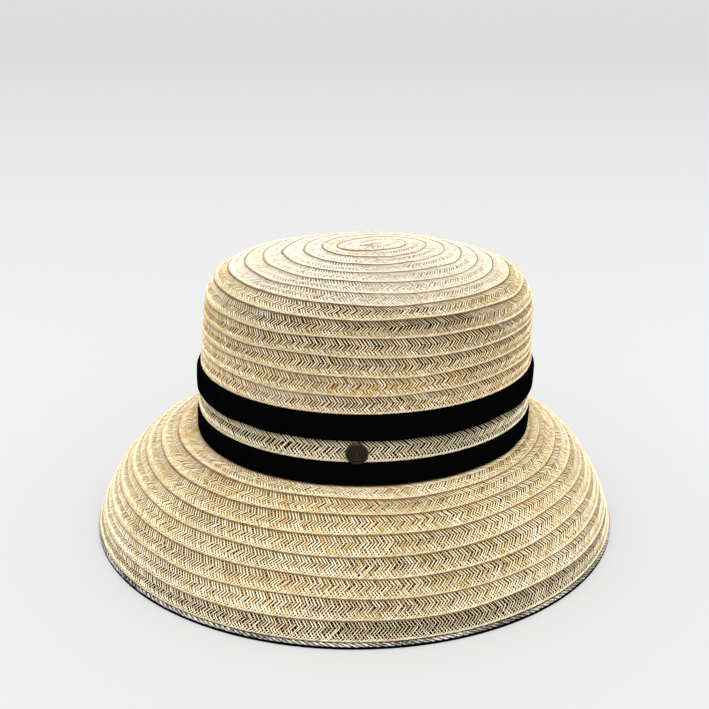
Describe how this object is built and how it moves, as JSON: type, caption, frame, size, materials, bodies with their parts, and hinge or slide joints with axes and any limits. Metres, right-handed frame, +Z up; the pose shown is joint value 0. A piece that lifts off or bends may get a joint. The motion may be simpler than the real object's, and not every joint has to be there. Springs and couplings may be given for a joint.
{
  "type": "cloche hat",
  "caption": "Bell-brimmed cloche hat of sewn straw braid, with a low domed crown, black ribbon bands and a small plain round badge.",
  "frame": {"origin": "on the ground under the middle of the rim, at the bottom centre of the bounding box", "axes": "+Z up; the wearer's front towards -X and back towards +X, along the rim's long axis; the badge on the wearer's left, towards -Y"},
  "size_m": [0.3236, 0.2894, 0.1749],
  "materials": {
    "straw": "natural straw braid, matt, open herringbone plait",
    "pale_straw": "bleached straw selvage, rolled",
    "black_ribbon": "matt black woven ribbon",
    "dark_bronze": "aged dark bronze, satin"
  },
  "bodies": {
    "root": {"crown": "straw", "upper_ribbon": "black_ribbon", "middle_braid": "straw", "lower_ribbon": "black_ribbon", "brim": "straw", "brim_edge": "pale_straw", "under_brim_ribbon": "black_ribbon", "sweatband": "black_ribbon", "badge": "dark_bronze"}
  },
  "joints": []
}
